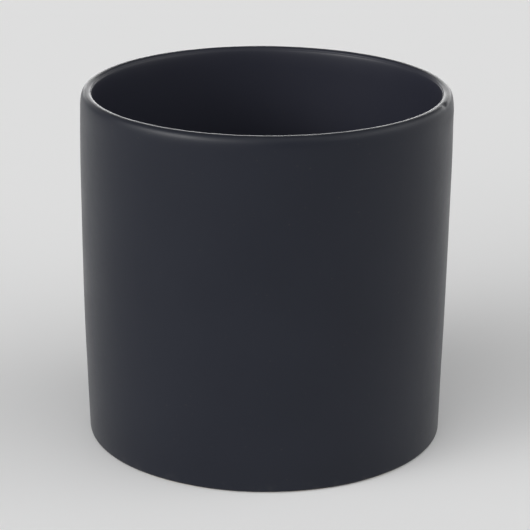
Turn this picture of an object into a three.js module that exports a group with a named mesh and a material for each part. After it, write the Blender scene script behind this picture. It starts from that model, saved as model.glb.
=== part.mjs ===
// An empty candle jar: one turned cylinder of glazed stoneware, open at the top.
// Millimetres, +Z up. The origin is the centre of the foot, on the surface the jar stands on.
import * as THREE from "three";

// Driving dimensions
const lipDiameter = 120;
const height = 116;
const wall = 4.2;
const taper = 1.35; // the foot's radius is this much less than the lip's
const bow = 0.65; // how far the wall's middle stands out from a straight line between its ends

// The lip falls from its crest in a long outer round and a short, shallow inner one, and the inner
// wall opens out a little below that. Each is a quarter ellipse, but the outer one is squarer by
// its fullness, where 1 would be an ellipse. A run is measured across the wall, and a drop down it.
const flareRun = 0.7;
const flareDrop = 6.5;
const lipInnerRun = 1.3;
const lipInnerDrop = 0.8;
const lipOuterRun = wall - flareRun - lipInnerRun;
const lipOuterDrop = 7;
const lipFullness = 2 / 3;

// The underside stands on a ring round a shallow recess.
const baseEdge = 1.2;
const footWidth = 4.6;
const recessDepth = 1.6;
const recessEdge = 0.8;

// The inside ends in a round corner and a flat floor.
const floor = recessDepth + wall;
const innerCorner = 6;

// How finely the curves are divided
const turnSteps = 96;
const wallSteps = 6;
const lipOuterSteps = 8;
const lipInnerSteps = 4;
const flareSteps = 5;
const cornerSteps = 5;
const edgeSteps = 3;

const glazeColour = 0x2b2e36;
const glazeRoughness = 0.42;

const quarter = Math.PI / 2;

// The outer wall's radius at a height: a slight taper towards the foot, and a slight bow.
function outerRadius(z) {
  const down = (height - z) / height;
  return lipDiameter / 2 - taper * down + 4 * bow * down * (1 - down);
}

function innerRadius(z) {
  return outerRadius(z) - wall;
}

// A stretch of an ellipse about (r, z), angles measured from straight outwards towards straight up.
function arc({ r, z, run, drop, from, to, steps }) {
  const points = [];
  for (let i = 0; i <= steps; i += 1) {
    const angle = from + ((to - from) * i) / steps;
    points.push(new THREE.Vector2(r + run * Math.cos(angle), z + drop * Math.sin(angle)));
  }
  return points;
}

// The lip's outer round, from the outer wall up to the crest, which the inner round begins with.
function lipOuterRound(lipStart) {
  const crest = outerRadius(lipStart) - lipOuterRun;
  const points = [];
  for (let i = 0; i < lipOuterSteps; i += 1) {
    const angle = (quarter * i) / lipOuterSteps;
    const out = Math.cos(angle) ** lipFullness;
    const up = Math.sin(angle) ** lipFullness;
    points.push(new THREE.Vector2(crest + lipOuterRun * out, lipStart + lipOuterDrop * up));
  }
  return points;
}

// A wall face from one height to another, without its two ends, which its neighbours already hold.
function wallFace(radiusAt, from, to) {
  const points = [];
  for (let i = 1; i < wallSteps; i += 1) {
    const z = from + ((to - from) * i) / wallSteps;
    points.push(new THREE.Vector2(radiusAt(z), z));
  }
  return points;
}

// The underside: the recess's ceiling, its round edge, and the foot ring up to the base edge.
function underside() {
  const footOuter = outerRadius(baseEdge) - baseEdge;
  const footInner = footOuter - footWidth;
  const recessRadius = footInner - recessDepth;
  return [
    new THREE.Vector2(0, recessDepth),
    new THREE.Vector2(recessRadius, recessDepth),
    ...arc({
      r: footInner,
      z: recessEdge,
      run: recessEdge,
      drop: recessEdge,
      from: 2 * quarter,
      to: 3 * quarter,
      steps: edgeSteps,
    }),
  ];
}

function outside() {
  const lipStart = height - lipOuterDrop;
  return [
    ...arc({
      r: outerRadius(baseEdge) - baseEdge,
      z: baseEdge,
      run: baseEdge,
      drop: baseEdge,
      from: -quarter,
      to: 0,
      steps: edgeSteps,
    }),
    ...wallFace(outerRadius, baseEdge, lipStart),
    ...lipOuterRound(lipStart),
  ];
}

function inside() {
  const cornerTop = floor + innerCorner;
  const crest = outerRadius(height - lipOuterDrop) - lipOuterRun;
  const flareTop = height - lipInnerDrop;
  const flareStart = flareTop - flareDrop;
  const [, ...flare] = arc({
    r: crest - lipInnerRun,
    z: flareStart,
    run: flareRun,
    drop: flareDrop,
    from: quarter,
    to: 2 * quarter,
    steps: flareSteps,
  });
  return [
    ...arc({
      r: crest,
      z: flareTop,
      run: lipInnerRun,
      drop: lipInnerDrop,
      from: quarter,
      to: 2 * quarter,
      steps: lipInnerSteps,
    }),
    ...flare,
    ...wallFace(innerRadius, flareStart, cornerTop),
    ...arc({
      r: innerRadius(cornerTop) - innerCorner,
      z: cornerTop,
      run: innerCorner,
      drop: innerCorner,
      from: 0,
      to: -quarter,
      steps: cornerSteps,
    }),
    new THREE.Vector2(0, floor),
  ];
}

// The whole jar in one turn about its axis: the clay is one body from foot to lip.
function makeJarBody() {
  const profile = [...underside(), ...outside(), ...inside()];
  const geometry = new THREE.LatheGeometry(profile, turnSteps);
  const material = new THREE.MeshStandardMaterial({
    color: glazeColour,
    roughness: glazeRoughness,
    metalness: 0,
  });
  const body = new THREE.Mesh(geometry, material);
  body.name = "jar_body";
  body.rotation.x = quarter; // the lathe turns about Y, and the jar stands along Z
  return body;
}

const jar = new THREE.Group();
jar.name = "candle_jar";
jar.add(makeJarBody());

export default jar;
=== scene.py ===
import math

import bpy
from mathutils import Matrix, Vector, noise


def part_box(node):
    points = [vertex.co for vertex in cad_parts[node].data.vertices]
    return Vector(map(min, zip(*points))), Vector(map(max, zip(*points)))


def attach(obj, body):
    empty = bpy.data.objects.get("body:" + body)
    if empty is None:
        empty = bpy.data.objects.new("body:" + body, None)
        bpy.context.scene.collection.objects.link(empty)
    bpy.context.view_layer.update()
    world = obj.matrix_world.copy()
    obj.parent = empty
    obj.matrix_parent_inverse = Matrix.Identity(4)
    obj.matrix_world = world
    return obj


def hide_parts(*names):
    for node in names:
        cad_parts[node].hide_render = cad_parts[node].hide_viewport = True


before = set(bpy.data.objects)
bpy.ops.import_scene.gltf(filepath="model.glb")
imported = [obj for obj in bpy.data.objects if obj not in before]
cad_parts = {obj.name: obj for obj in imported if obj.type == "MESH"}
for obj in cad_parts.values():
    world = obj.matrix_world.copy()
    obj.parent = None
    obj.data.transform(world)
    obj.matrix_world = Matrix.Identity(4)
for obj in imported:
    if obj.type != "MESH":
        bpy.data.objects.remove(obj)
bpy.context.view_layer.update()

# The jar's own sizes, in the CAD part's millimetres. MM is one of them in metres, so a jar that
# is packed larger is dressed larger.
LOW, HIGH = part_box("jar_body")
HEIGHT = 116.0
MM = (HIGH.z - LOW.z) / HEIGHT

LIP_RADIUS = 60.0
WALL = 4.2
TAPER = 1.35  # the foot's radius is this much less than the lip's
BOW = 0.65  # how far the wall's middle stands out from a straight line between its ends
FLARE_RUN, FLARE_DROP = 0.7, 6.5  # the inner wall opens out below the lip
LIP_INNER_RUN, LIP_INNER_DROP = 1.3, 0.8
LIP_OUTER_RUN, LIP_OUTER_DROP = WALL - FLARE_RUN - LIP_INNER_RUN, 7.0
LIP_FULLNESS = 2 / 3  # below 1, the outer round is squarer than an ellipse
BASE_EDGE = 1.2
FOOT_WIDTH = 4.6
RECESS_DEPTH = 1.6
RECESS_EDGE = 0.8
FLOOR = RECESS_DEPTH + WALL
INNER_CORNER = 6.0

# The glaze is a melted coat. Its edge stands proud of the bare foot, and its line wanders a little.
GLAZE = 0.22
GLAZE_ROLL = math.radians(14)  # the stretch of the base edge over which the coat's edge rounds off
GLAZE_STOP = math.radians(42)  # how far below level the coat ends on the base edge
GLAZE_WANDER = math.radians(9)

TURN_STEPS = 288
QUARTER = math.pi / 2


def smooth(low, high, value):
    """0 below low, 1 above high, and a smooth rise between them."""
    t = min(1.0, max(0.0, (value - low) / (high - low)))
    return t * t * (3 - 2 * t)


# ---------------------------------------------------------------- the jar's outline


def outer_radius(z):
    down = (HEIGHT - z) / HEIGHT
    return LIP_RADIUS - TAPER * down + 4 * BOW * down * (1 - down)


def inner_radius(z):
    return outer_radius(z) - WALL


def arc(centre, run, drop, start, end, steps):
    """Points of an ellipse about centre, from one angle to another, without the last."""
    turns = [start + (end - start) * i / steps for i in range(steps)]
    return [(centre[0] + run * math.cos(a), centre[1] + drop * math.sin(a)) for a in turns]


def full_round(centre, run, drop, steps):
    """An ellipse's quarter from straight outwards to straight up, made fuller, without the last point."""
    turns = [QUARTER * i / steps for i in range(steps)]
    shares = [(math.cos(a) ** LIP_FULLNESS, math.sin(a) ** LIP_FULLNESS) for a in turns]
    return [(centre[0] + run * out, centre[1] + drop * up) for out, up in shares]


def line(start, end, steps):
    """Evenly spaced points of a straight line, without the last."""
    shares = [i / steps for i in range(steps)]
    across, up = end[0] - start[0], end[1] - start[1]
    return [(start[0] + across * share, start[1] + up * share) for share in shares]


def wall_face(radius_at, start, end, steps):
    heights = [start + (end - start) * i / steps for i in range(steps)]
    return [(radius_at(z), z) for z in heights]


FOOT_OUTER = outer_radius(BASE_EDGE) - BASE_EDGE
FOOT_INNER = FOOT_OUTER - FOOT_WIDTH
LIP_START = HEIGHT - LIP_OUTER_DROP
CREST = outer_radius(LIP_START) - LIP_OUTER_RUN  # the radius of the lip's highest ring
MOUTH = CREST - LIP_INNER_RUN
FLARE_TOP = HEIGHT - LIP_INNER_DROP
FLARE_START = FLARE_TOP - FLARE_DROP
CORNER_TOP = FLOOR + INNER_CORNER
CORNER_CENTRE = (inner_radius(CORNER_TOP) - INNER_CORNER, CORNER_TOP)


def underside(stop):
    """The recess, and the glaze's edge on the foot's inner side, which ends stop below level."""
    slope_top = (FOOT_INNER - RECESS_DEPTH, RECESS_DEPTH)
    slope_foot = (FOOT_INNER - RECESS_EDGE, RECESS_EDGE)
    points = line((0, RECESS_DEPTH), slope_top, 14)
    points += line(slope_top, slope_foot, 4)
    points += arc((FOOT_INNER, RECESS_EDGE), RECESS_EDGE, RECESS_EDGE, 2 * QUARTER, 2 * QUARTER + stop, 5)
    return points


def bare_foot(stop):
    """The clay that the jar stands on, set in from the glaze on both sides."""
    inner = (FOOT_INNER + GLAZE, RECESS_EDGE)
    outer = (FOOT_OUTER - GLAZE, BASE_EDGE)
    begin = 2 * QUARTER + stop + GLAZE_ROLL
    points = arc(inner, RECESS_EDGE, RECESS_EDGE, begin, 3 * QUARTER, 5)
    points += line((inner[0], 0), (outer[0], 0), 12)
    points += arc(outer, BASE_EDGE, BASE_EDGE, -QUARTER, -stop - GLAZE_ROLL, 6)
    end = stop + GLAZE_ROLL
    points.append((outer[0] + BASE_EDGE * math.cos(end), BASE_EDGE * (1 - math.sin(end))))
    return points


def glazed_sides(stop):
    """The outer wall, the lip, the inner wall and the inside floor."""
    points = arc((FOOT_OUTER, BASE_EDGE), BASE_EDGE, BASE_EDGE, -stop, 0, 6)
    points += wall_face(outer_radius, BASE_EDGE, LIP_START, 46)
    points += full_round((CREST, LIP_START), LIP_OUTER_RUN, LIP_OUTER_DROP, 28)
    points += arc((CREST, FLARE_TOP), LIP_INNER_RUN, LIP_INNER_DROP, QUARTER, 2 * QUARTER, 12)
    points += arc((MOUTH, FLARE_START), FLARE_RUN, FLARE_DROP, QUARTER, 2 * QUARTER, 14)
    points += wall_face(inner_radius, FLARE_START, CORNER_TOP, 42)
    points += arc(CORNER_CENTRE, INNER_CORNER, INNER_CORNER, 0, -QUARTER, 14)
    points += line((CORNER_CENTRE[0], FLOOR), (0, FLOOR), 14)
    points.append((0, FLOOR))
    return points


# ---------------------------------------------------------------- what firing and glazing did to it


def drift(turn, z, seed, size):
    """Smooth noise on the wall from -1 to 1, size mm across."""
    around = LIP_RADIUS / size
    return noise.noise(Vector((around * math.cos(turn), around * math.sin(turn), z / size + seed)))


def lean(z):
    """The jar's axis isn't quite straight: it bends to one side low down and to the other at the top."""
    up = z / HEIGHT
    return 0.26 * up * up - 1.2 * up * (1 - up) ** 2


def bell(value, middle, reach):
    """1 at the middle, about a third at reach either side of it, and then nothing."""
    return math.exp(-(((value - middle) / reach) ** 2))


BEAD_TURN = math.radians(-13)
BEAD_HEIGHT, BEAD_MIDDLE, BEAD_REACH = 0.34, 110.6, 2.3
BEAD_WIDTH = 6.0


def aside(turn, middle):
    """How far round the lip a turn is from middle, in mm."""
    return LIP_RADIUS * ((turn - middle + math.pi) % (2 * math.pi) - math.pi)


def bead(turn, z):
    """A thick place where the glaze gathered on the lip's outer face."""
    return BEAD_HEIGHT * bell(aside(turn, BEAD_TURN), 0, BEAD_WIDTH) * bell(z, BEAD_MIDDLE, BEAD_REACH)


NICK_TURN = math.radians(-19.3)
NICK_DEPTH, NICK_RADIUS, NICK_REACH = 0.45, 59.0, 0.6
NICK_WIDTH = 1.7


def nick(turn, r):
    """A small sunk place in the lip, beside the bead."""
    return NICK_DEPTH * bell(aside(turn, NICK_TURN), 0, NICK_WIDTH) * bell(r, NICK_RADIUS, NICK_REACH)


def lip_rise(turn):
    """The lip isn't quite level, and it went a little saddle-shaped in the kiln."""
    return 0.05 + 0.12 * math.cos(turn - math.radians(110)) + 0.10 * math.cos(2 * turn - math.radians(600))


# How far the wall stands out in mm, at what height, and over what reach up and down
SWELLS = ((0.16, 96, 15), (-0.08, 21, 10))
# How far the wall wanders in mm, the noise's seed, and its size
DRIFTS = ((0.04, 3.1, 34), (0.01, 8.7, 9))


def settled(r, z, turn):
    """The point of the true outline as the fired jar has it, in mm."""
    outward = r / LIP_RADIUS
    swell = sum(out * bell(z, middle, reach) for out, middle, reach in SWELLS)
    swell += sum(out * drift(turn, z, seed, size) for out, seed, size in DRIFTS)
    if r > CREST:
        swell += bead(turn, z)
    radius = r + swell * smooth(0, 3, z) * outward
    rise = smooth(70, HEIGHT, z) * lip_rise(turn) - smooth(LIP_START, HEIGHT - 2, z) * nick(turn, r)
    return Vector((radius * math.cos(turn) + lean(z) * outward, radius * math.sin(turn), z + rise))


# ---------------------------------------------------------------- the jar's mesh


def nearness(r, z, place, reach):
    """1 at place and fading away from it, to about a third at reach mm."""
    return math.exp(-((r - place[0]) ** 2 + (z - place[1]) ** 2) / reach**2)


# Where the glaze differs from its even coat, as numbers kept on the mesh for the glaze to read.
# The inside and the lip also carry painted light: the inside is painted lighter, and the lip gets a painted
# sheen.
GLAZE_FEATURES = {
    # partly where the glaze runs thinner over the lip, partly a painted sheen standing in for the lip's
    # reflections
    "thin_and_sheen_at_lip": lambda r, z: nearness(r, z, (CREST + 0.2, HEIGHT), 0.9),
    # painted light: the inner surface, where the glaze is painted lighter to stand in for light falling
    # into the jar
    "inside": lambda r, z: (1 - smooth(MOUTH, CREST, r)) * smooth(RECESS_DEPTH, FLOOR, z),
    "pooled": lambda r, z: nearness(r, z, (CORNER_CENTRE[0] + 4.2, FLOOR + 1.4), 4.0),
    "rubbed": lambda r, z: nearness(r, z, (FOOT_OUTER + 1.0, 0.6), 1.6),
}


def make_jar():
    """One closed mesh: the outline at each step of a full turn, with one point at each end."""
    vertices, features, bare = [], {name: [] for name in GLAZE_FEATURES}, []
    for k in range(TURN_STEPS):
        turn = 2 * math.pi * k / TURN_STEPS
        stop = GLAZE_STOP + GLAZE_WANDER * drift(turn, 0, 5.5, 16)
        below, foot, above = underside(stop), bare_foot(stop), glazed_sides(stop)
        outline = below + foot + above
        bare = range(len(below), len(below) + len(foot) - 1)
        for r, z in outline[1:-1]:
            vertices.append(settled(r, z, turn) * MM)
            for name, feature in GLAZE_FEATURES.items():
                features[name].append(feature(r, z))
    rings = len(outline) - 2
    lowest, highest = len(vertices), len(vertices) + 1
    for r, z in (outline[0], outline[-1]):
        vertices.append(settled(r, z, 0) * MM)
        for name, feature in GLAZE_FEATURES.items():
            features[name].append(feature(r, z))
    faces, slots = [], []
    for k in range(TURN_STEPS):
        here, there = k * rings, (k + 1) % TURN_STEPS * rings
        faces.append((lowest, there, here))
        slots.append(0)
        for i in range(rings - 1):
            faces.append((here + i, there + i, there + i + 1, here + i + 1))
            slots.append(1 if i + 1 in bare else 0)
        faces.append((here + rings - 1, there + rings - 1, highest))
        slots.append(0)
    mesh = bpy.data.meshes.new("jar_glazed_stoneware")
    mesh.from_pydata(vertices, [], faces)
    mesh.polygons.foreach_set("material_index", slots)
    mesh.polygons.foreach_set("use_smooth", [True] * len(faces))
    for name, values in features.items():
        mesh.attributes.new(name, "FLOAT", "POINT").data.foreach_set("value", values)
    mesh.materials.append(glaze_material())
    mesh.materials.append(clay_material())
    mesh.update()
    jar = bpy.data.objects.new("jar_glazed_stoneware", mesh)
    bpy.context.scene.collection.objects.link(jar)
    return jar


# ---------------------------------------------------------------- materials


class Surface:
    """A new material with short ways to add and join its nodes. Sizes are in mm on the object."""

    def __init__(self, name):
        self.material = bpy.data.materials.new(name)
        self.material.use_nodes = True
        self.nodes = self.material.node_tree.nodes
        self.links = self.material.node_tree.links
        self.shader = self.nodes["Principled BSDF"]
        self.place = self.nodes.new("ShaderNodeTexCoord").outputs["Object"]

    def node(self, kind, inputs, **settings):
        node = self.nodes.new(kind)
        for name, value in settings.items():
            setattr(node, name, value)
        for name, value in inputs.items():
            if isinstance(value, bpy.types.NodeSocket):
                self.links.new(value, node.inputs[name])
            else:
                node.inputs[name].default_value = value
        return node

    def noise(self, size, detail=2.0, roughness=0.5, seed=0.0):
        """Smooth noise whose features are about size mm across."""
        shift = {0: self.place, 1: (seed, 2 * seed, -seed)}
        shifted = self.node("ShaderNodeVectorMath", shift, operation="ADD").outputs[0]
        inputs = {"Vector": shifted, "Scale": 0.5 / (size * MM), "Detail": detail, "Roughness": roughness}
        return self.node("ShaderNodeTexNoise", inputs).outputs["Fac"]

    def spots(self, spacing, radius):
        """1 in the middle of spots scattered about spacing mm apart, falling to 0 at radius mm."""
        inputs = {"Vector": self.place, "Scale": 1 / (spacing * MM), "Randomness": 1.0}
        cells = self.node("ShaderNodeTexVoronoi", inputs)
        return self.scaled(cells.outputs["Distance"], 0.0, radius / spacing, 1.0, 0.0)

    def scaled(self, value, low, high, to_low, to_high):
        inputs = {"Value": value, "From Min": low, "From Max": high, "To Min": to_low, "To Max": to_high}
        return self.node("ShaderNodeMapRange", inputs).outputs["Result"]

    def math(self, operation, first, second):
        return self.node("ShaderNodeMath", {0: first, 1: second}, operation=operation).outputs[0]

    def feature(self, name):
        return self.node("ShaderNodeAttribute", {}, attribute_name=name).outputs["Fac"]

    def blend(self, share, first, second):
        """The first colour where share is 0 and the second where it is 1."""
        mix = self.node("ShaderNodeMix", {0: share, 6: first, 7: second}, data_type="RGBA")
        return mix.outputs[2]

    def bump(self, height, depth, below=None):
        """Raises the surface by depth mm where height is 1, on top of an earlier bump."""
        inputs = {"Height": height, "Distance": depth * MM, "Strength": 1.0}
        if below is not None:
            inputs["Normal"] = below
        return self.node("ShaderNodeBump", inputs).outputs["Normal"]


GLAZE_DARK = (0.0104, 0.0121, 0.0190, 1)
GLAZE_LIGHT = (0.0118, 0.0137, 0.0211, 1)
# Painted light: a lighter copy of the same glaze for the inside, standing in for light falling into the
# jar.
GLAZE_INSIDE_PAINTED_LIGHT = (0.0228, 0.0238, 0.0338, 1)
# Lighter over the lip: partly the glaze breaking where it runs thinner, partly a painted sheen.
GLAZE_THIN_AND_SHEEN = (0.036, 0.037, 0.042, 1)
GLAZE_POOLED = (0.0070, 0.0084, 0.0130, 1)
GLAZE_SPECK = (0.040, 0.036, 0.034, 1)
GLAZE_RUBBED = (0.050, 0.050, 0.052, 1)


def glaze_material():
    """Satin charcoal glaze: faint clouds and specks, lighter over the lip where the glaze runs thinner and
    as a painted sheen, the inside painted lighter as painted light, pooled in the inner corner.
    """
    s = Surface("satin_glaze")
    clouds = s.scaled(s.noise(16, 3), 0.3, 0.7, 0, 1)
    grain = s.noise(0.9, 3, 0.65, 0.3)
    colour = s.blend(clouds, GLAZE_DARK, GLAZE_LIGHT)
    # Painted light: the inside is painted lighter than the same glaze outside.
    colour = s.blend(s.scaled(s.feature("inside"), 0, 1, 0, 0.9), colour, GLAZE_INSIDE_PAINTED_LIGHT)
    specks = s.math("MULTIPLY", s.spots(3.1, 0.42), s.scaled(grain, 0.45, 0.6, 0, 0.7))
    colour = s.blend(specks, colour, GLAZE_SPECK)
    uneven = s.scaled(s.noise(2.4, 2, 0.5, 0.7), 0.3, 0.7, 0.35, 0.85)
    # Lighter over the lip: partly the glaze breaking where it runs thinner, partly a painted sheen.
    thin_and_sheen = s.math("MULTIPLY", s.feature("thin_and_sheen_at_lip"), uneven)
    colour = s.blend(thin_and_sheen, colour, GLAZE_THIN_AND_SHEEN)
    colour = s.blend(s.feature("pooled"), colour, GLAZE_POOLED)
    rubbed = s.math("MULTIPLY", s.feature("rubbed"), s.scaled(s.noise(1.6, 3, 0.6, 0.9), 0.5, 0.68, 0, 0.3))
    colour = s.blend(rubbed, colour, GLAZE_RUBBED)
    s.links.new(colour, s.shader.inputs["Base Color"])

    patchy = s.scaled(s.noise(7, 2, 0.5, 1.3), 0.3, 0.7, 0.325, 0.365)
    roughness = s.math("ADD", patchy, s.scaled(grain, 0.3, 0.7, -0.015, 0.015))
    roughness = s.math("SUBTRACT", roughness, s.math("MULTIPLY", s.feature("pooled"), 0.09))
    roughness = s.math("ADD", roughness, s.math("MULTIPLY", rubbed, 0.15))
    s.links.new(roughness, s.shader.inputs["Roughness"])

    peel = s.bump(s.noise(3.2, 1, 0.5, 2.1), 0.022)
    fine = s.bump(grain, 0.006, peel)
    pinholes = s.bump(s.spots(5.3, 0.3), -0.05, fine)
    s.links.new(pinholes, s.shader.inputs["Normal"])
    s.shader.inputs["IOR"].default_value = 1.30
    return s.material


def clay_material():
    """The unglazed foot: buff-grey stoneware with sand grain, dark iron specks and small pits."""
    s = Surface("bare_stoneware")
    clouds = s.scaled(s.noise(6, 3), 0.3, 0.7, 0, 1)
    grain = s.noise(0.5, 3, 0.7, 0.4)
    colour = s.blend(clouds, (0.36, 0.31, 0.25, 1), (0.47, 0.41, 0.33, 1))
    colour = s.blend(s.scaled(grain, 0.35, 0.75, 0, 0.5), colour, (0.56, 0.50, 0.42, 1))
    specks = s.math("MULTIPLY", s.spots(1.9, 0.42), s.scaled(s.noise(2.5, 1, 0.5, 1.1), 0.45, 0.6, 0, 0.9))
    colour = s.blend(specks, colour, (0.09, 0.065, 0.05, 1))
    s.links.new(colour, s.shader.inputs["Base Color"])
    s.links.new(s.scaled(grain, 0.3, 0.7, 0.78, 0.94), s.shader.inputs["Roughness"])
    sand = s.bump(grain, 0.05)
    pits = s.bump(s.spots(1.3, 0.25), -0.04, sand)
    s.links.new(pits, s.shader.inputs["Normal"])
    return s.material


# ---------------------------------------------------------------- camera, floor and light

VIEW_ELEVATION = math.radians(18.87)
VIEW_DISTANCE = 12 * LIP_RADIUS
VIEW_AIM = Vector((-0.07, 0, 55.7))
VIEW_ROLL = math.radians(0.34)
VIEW_LENS = 147.8


def make_camera():
    data = bpy.data.cameras.new("camera")
    data.lens = VIEW_LENS
    data.sensor_width = 36
    camera = bpy.data.objects.new("camera", data)
    bpy.context.scene.collection.objects.link(camera)
    back = Vector((0, -math.cos(VIEW_ELEVATION), math.sin(VIEW_ELEVATION)))
    turned = back.to_track_quat("Z", "Y") @ Matrix.Rotation(VIEW_ROLL, 3, "Z").to_quaternion()
    camera.rotation_mode = "QUATERNION"
    camera.rotation_quaternion = turned
    camera.location = (VIEW_AIM + back * VIEW_DISTANCE) * MM
    data.clip_start, data.clip_end = 0.01, 50
    bpy.context.scene.camera = camera


FLOOR_REACH = 6.0  # metres each way from the jar


def make_floor():
    mesh = bpy.data.meshes.new("floor")
    corners = [(x * FLOOR_REACH, y * FLOOR_REACH, 0) for x, y in ((-1, -1), (1, -1), (1, 1), (-1, 1))]
    mesh.from_pydata(corners, [], [(0, 1, 2, 3)])
    floor = bpy.data.objects.new("floor", mesh)
    bpy.context.scene.collection.objects.link(floor)
    paper = Surface("floor")
    paper.shader.inputs["Base Color"].default_value = (0.88, 0.88, 0.88, 1)
    paper.shader.inputs["Roughness"].default_value = 0.9
    paper.shader.inputs["Specular IOR Level"].default_value = 0.0
    mesh.materials.append(paper.material)


# Soft lights far off: compass direction (0 is the camera's side, 90 the right), height above the
# horizon, half-width and half-height, all in degrees, and strength.
SOFT_LIGHTS = {
    "back_low": (180, 5, 20, 7, 6),
    "back_left": (225, 20, 20, 8, 0.5),
    "left_low": (270, 5, 20, 8, 1),
    "left": (285, 20, 15, 8, 4),
    "key": (305, 19, 14, 5, 16),
    "front_left": (335, 20, 15, 8, 3),
    "front_high": (0, 45, 60, 25, 1.2),
    "front_right": (55, 20, 15, 8, 2),
    "right": (90, 20, 20, 8, 2.5),
    "right_high": (90, 40, 30, 12, 1),
    "right_low": (90, 5, 20, 8, 1),
    "back_right_low": (135, 5, 20, 8, 1.5),
}


HALVING = math.log(2)


def make_world():
    """A studio that is dark but for its soft lights."""
    world = bpy.data.worlds.new("studio")
    world.use_nodes = True
    nodes, links = world.node_tree.nodes, world.node_tree.links

    def step(kind, operation, *values):
        node = nodes.new(kind)
        node.operation = operation
        for i, value in enumerate(values):
            if isinstance(value, bpy.types.NodeSocket):
                links.new(value, node.inputs[i])
            else:
                node.inputs[i].default_value = value
        return node

    towards = nodes.new("ShaderNodeTexCoord").outputs["Generated"]
    level = step("ShaderNodeVectorMath", "MULTIPLY", towards, (1, 1, 0)).outputs[0]
    level = step("ShaderNodeVectorMath", "NORMALIZE", level).outputs[0]
    upward = step("ShaderNodeVectorMath", "DOT_PRODUCT", towards, (0, 0, 1)).outputs["Value"]
    height_here = step("ShaderNodeMath", "ARCSINE", upward).outputs[0]
    total = 0.0
    for compass, height, half_width, half_height, strength in SOFT_LIGHTS.values():
        a, e = math.radians(compass), math.radians(height)
        # Each falls off so that it is half as bright at its half-width and its half-height.
        across = HALVING / (1 - math.cos(math.radians(half_width)))
        upwards = HALVING / math.radians(half_height) ** 2
        facing = (math.sin(a), -math.cos(a), 0)
        aside = step("ShaderNodeVectorMath", "DOT_PRODUCT", level, facing).outputs["Value"]
        aside = step("ShaderNodeMath", "MULTIPLY_ADD", aside, across, -across).outputs[0]
        above = step("ShaderNodeMath", "SUBTRACT", height_here, e).outputs[0]
        above = step("ShaderNodeMath", "MULTIPLY", above, above).outputs[0]
        power = step("ShaderNodeMath", "MULTIPLY_ADD", above, -upwards, aside).outputs[0]
        glow = step("ShaderNodeMath", "EXPONENT", power).outputs[0]
        total = step("ShaderNodeMath", "MULTIPLY_ADD", glow, strength, total).outputs[0]
    links.new(total, nodes["Background"].inputs["Strength"])
    nodes["Background"].inputs["Color"].default_value = (1, 1, 1, 1)
    bpy.context.scene.world = world


# ---------------------------------------------------------------- the scene

make_camera()
make_floor()
make_world()
bpy.context.scene.view_settings.view_transform = "Standard"

jar = make_jar()
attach(jar, "root")
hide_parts("jar_body")
